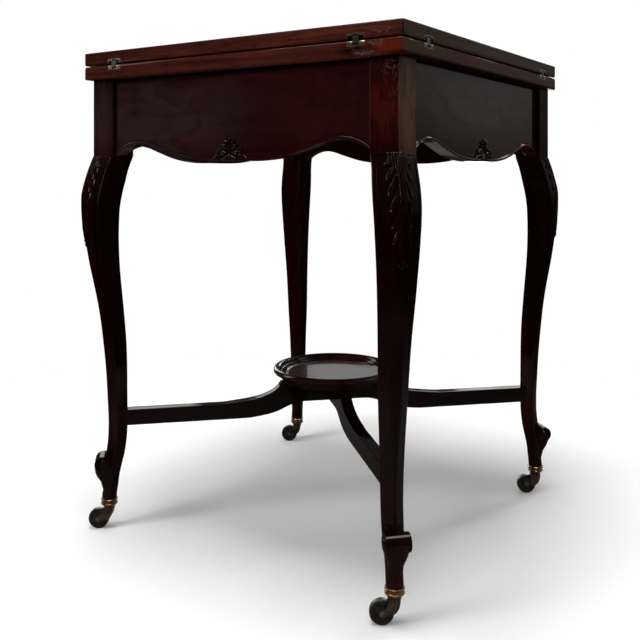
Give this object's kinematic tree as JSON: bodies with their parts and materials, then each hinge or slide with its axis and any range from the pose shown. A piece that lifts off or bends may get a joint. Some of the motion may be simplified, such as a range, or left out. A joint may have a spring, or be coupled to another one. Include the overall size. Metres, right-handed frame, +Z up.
{
  "type": "folding card table",
  "caption": "Envelope card table with a swivelling square top, triangular folding leaves, shaped friezes, cabriole legs on casters, and crossed stretchers under a dished tray.",
  "frame": {"origin": "on the floor, under the axis that the top swivels on, midway between the four legs", "axes": "+Z up; -Y towards the front, which is the left of the two sides in the picture; +X towards the right of those two sides"},
  "size_m": [0.5708, 0.5708, 0.738],
  "materials": {
    "leaf_wood": "polished dark red mahogany",
    "bed_wood": "polished dark red mahogany",
    "frieze_wood": "polished dark red mahogany",
    "carving_wood": "polished, carved",
    "leg_wood": "polished, carved, near black",
    "stretcher_wood": "polished, near black",
    "tray_wood": "polished, turned",
    "inner_wood": "bare planed wood",
    "cloth": "green wool baize",
    "hinge_brass": "worn, part tarnished",
    "link_brass": "tarnished",
    "cup_brass": "dull, turned",
    "horn_brass": "blackened by age",
    "wheel": "dark, worn",
    "steel": "plain, dulled",
    "disc_wood": "waxed beech"
  },
  "bodies": {
    "frame": {"leg_back_right": "leg_wood", "leg_back_left": "leg_wood", "leg_front_left": "leg_wood", "leg_front_right": "leg_wood", "frieze_front": "frieze_wood", "frieze_right": "frieze_wood", "frieze_back": "frieze_wood", "frieze_left": "frieze_wood", "frieze_carvings": "carving_wood", "corner_braces": "inner_wood", "brace_screws": "steel", "pivot_board": "inner_wood", "board_ledgers": "inner_wood", "bearing_disc": "disc_wood", "stretcher_lower": "stretcher_wood", "stretcher_upper": "stretcher_wood", "tray": "tray_wood", "tray_screws": "steel", "caster_cups": "cup_brass"},
    "top": {"bed": "bed_wood", "bed_cloth": "cloth", "bed_hinge_plates": "hinge_brass", "bed_hinge_screws": "hinge_brass", "pivot_bolt": "steel", "pivot_nut": "steel", "pivot_washer": "steel", "stop_peg": "inner_wood"},
    "links_front": {"hinge_links_front": "link_brass"},
    "leaf_front": {"leaf_front": "leaf_wood", "leaf_cloth_front": "cloth", "leaf_hinge_front": "hinge_brass"},
    "links_right": {"hinge_links_right": "link_brass"},
    "leaf_right": {"leaf_right": "leaf_wood", "leaf_cloth_right": "cloth", "leaf_hinge_right": "hinge_brass"},
    "links_back": {"hinge_links_back": "link_brass"},
    "leaf_back": {"leaf_back": "leaf_wood", "leaf_cloth_back": "cloth", "leaf_hinge_back": "hinge_brass"},
    "links_left": {"hinge_links_left": "link_brass"},
    "leaf_left": {"leaf_left": "leaf_wood", "leaf_cloth_left": "cloth", "leaf_hinge_left": "hinge_brass"},
    "horn_back_right": {"horn_back_right": "horn_brass", "axle_back_right": "steel"},
    "wheel_back_right": {"wheel_back_right": "wheel"},
    "horn_back_left": {"horn_back_left": "horn_brass", "axle_back_left": "steel"},
    "wheel_back_left": {"wheel_back_left": "wheel"},
    "horn_front_left": {"horn_front_left": "horn_brass", "axle_front_left": "steel"},
    "wheel_front_left": {"wheel_front_left": "wheel"},
    "horn_front_right": {"horn_front_right": "horn_brass", "axle_front_right": "steel"},
    "wheel_front_right": {"wheel_front_right": "wheel"}
  },
  "joints": [
    {"name": "top_swivel", "type": "hinge", "parent": "frame", "child": "top", "pos_m": [0, 0, 0.69], "axis": [0, 0, 1], "range_deg": [0, 45]},
    {"name": "link_on_bed_front", "type": "hinge", "parent": "top", "child": "links_front", "pos_m": [0, -0.277, 0.7139], "axis": [1, 0, 0], "range_deg": [0, 90]},
    {"name": "leaf_on_link_front", "type": "hinge", "parent": "links_front", "child": "leaf_front", "pos_m": [0, -0.277, 0.7215], "axis": [1, 0, 0], "range_deg": [0, 90]},
    {"name": "link_on_bed_right", "type": "hinge", "parent": "top", "child": "links_right", "pos_m": [0.277, 0, 0.7139], "axis": [0, 1, 0], "range_deg": [0, 90]},
    {"name": "leaf_on_link_right", "type": "hinge", "parent": "links_right", "child": "leaf_right", "pos_m": [0.277, 0, 0.7215], "axis": [0, 1, 0], "range_deg": [0, 90]},
    {"name": "link_on_bed_back", "type": "hinge", "parent": "top", "child": "links_back", "pos_m": [0, 0.277, 0.7139], "axis": [-1, 0, 0], "range_deg": [0, 90]},
    {"name": "leaf_on_link_back", "type": "hinge", "parent": "links_back", "child": "leaf_back", "pos_m": [0, 0.277, 0.7215], "axis": [-1, 0, 0], "range_deg": [0, 90]},
    {"name": "link_on_bed_left", "type": "hinge", "parent": "top", "child": "links_left", "pos_m": [-0.277, 0, 0.7139], "axis": [0, -1, 0], "range_deg": [0, 90]},
    {"name": "leaf_on_link_left", "type": "hinge", "parent": "links_left", "child": "leaf_left", "pos_m": [-0.277, 0, 0.7215], "axis": [0, -1, 0], "range_deg": [0, 90]},
    {"name": "horn_swivel_back_right", "type": "hinge", "parent": "frame", "child": "horn_back_right", "pos_m": [0.25299, 0.25299, 0.033], "axis": [0, 0, 1], "continuous": true},
    {"name": "wheel_spin_back_right", "type": "hinge", "parent": "horn_back_right", "child": "wheel_back_right", "pos_m": [0.23964, 0.24419, 0.0155], "axis": [0.5505, -0.8348, 0], "continuous": true},
    {"name": "horn_swivel_back_left", "type": "hinge", "parent": "frame", "child": "horn_back_left", "pos_m": [-0.25299, 0.25299, 0.033], "axis": [0, 0, 1], "continuous": true},
    {"name": "wheel_spin_back_left", "type": "hinge", "parent": "horn_back_left", "child": "wheel_back_left", "pos_m": [-0.26635, 0.24419, 0.0155], "axis": [0.5505, -0.8348, 0], "continuous": true},
    {"name": "horn_swivel_front_left", "type": "hinge", "parent": "frame", "child": "horn_front_left", "pos_m": [-0.25299, -0.25299, 0.033], "axis": [0, 0, 1], "continuous": true},
    {"name": "wheel_spin_front_left", "type": "hinge", "parent": "horn_front_left", "child": "wheel_front_left", "pos_m": [-0.26635, -0.2618, 0.0155], "axis": [0.5505, -0.8348, 0], "continuous": true},
    {"name": "horn_swivel_front_right", "type": "hinge", "parent": "frame", "child": "horn_front_right", "pos_m": [0.25299, -0.25299, 0.033], "axis": [0, 0, 1], "continuous": true},
    {"name": "wheel_spin_front_right", "type": "hinge", "parent": "horn_front_right", "child": "wheel_front_right", "pos_m": [0.23964, -0.2618, 0.0155], "axis": [0.5505, -0.8348, 0], "continuous": true}
  ],
  "couplings": [
    {"joint": "leaf_on_link_front", "follows": "link_on_bed_front", "ratio": 1},
    {"joint": "leaf_on_link_right", "follows": "link_on_bed_right", "ratio": 1},
    {"joint": "leaf_on_link_back", "follows": "link_on_bed_back", "ratio": 1},
    {"joint": "leaf_on_link_left", "follows": "link_on_bed_left", "ratio": 1}
  ]
}
